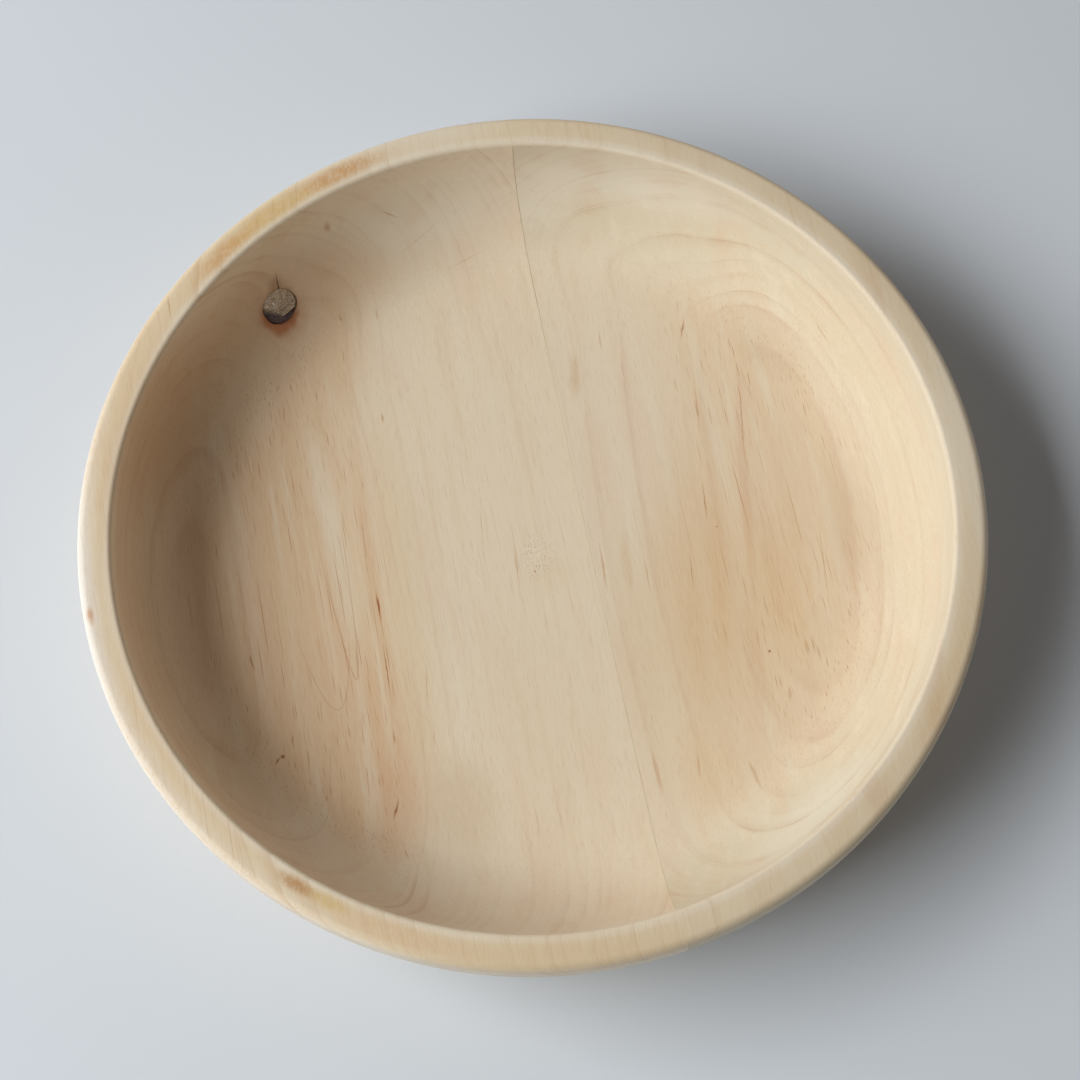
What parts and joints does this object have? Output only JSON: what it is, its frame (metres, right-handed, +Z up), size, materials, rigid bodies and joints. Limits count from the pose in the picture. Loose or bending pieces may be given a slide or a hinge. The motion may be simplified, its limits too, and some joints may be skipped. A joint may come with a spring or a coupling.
{
  "type": "turned wooden bowl",
  "caption": "Shallow round wooden bowl with a wide level rim, upright sides turning into an almost flat floor, turned from edge-glued boards with a dead knot.",
  "frame": {"origin": "centre of the foot, on the surface the bowl stands on and on the turning axis", "axes": "+Z up the turning axis; +Y along the grain of both boards, away from the picture's viewer; +X to the right, square to the glued joint"},
  "size_m": [0.27, 0.27, 0.05],
  "materials": {
    "left_board_wood": "bare sanded pale close-grained hardwood, satin",
    "right_board_wood": "bare sanded pale close-grained hardwood, slightly pinker, satin",
    "glue_film": "dried wood glue, satin",
    "dead_knot_wood": "weathered end grain, matt",
    "knot_bark": "dry dark bark, matt"
  },
  "bodies": {
    "root": {"left_board": "left_board_wood", "right_board": "right_board_wood", "glue_line": "glue_film", "knot": "dead_knot_wood", "knot_bark": "knot_bark"}
  },
  "joints": []
}
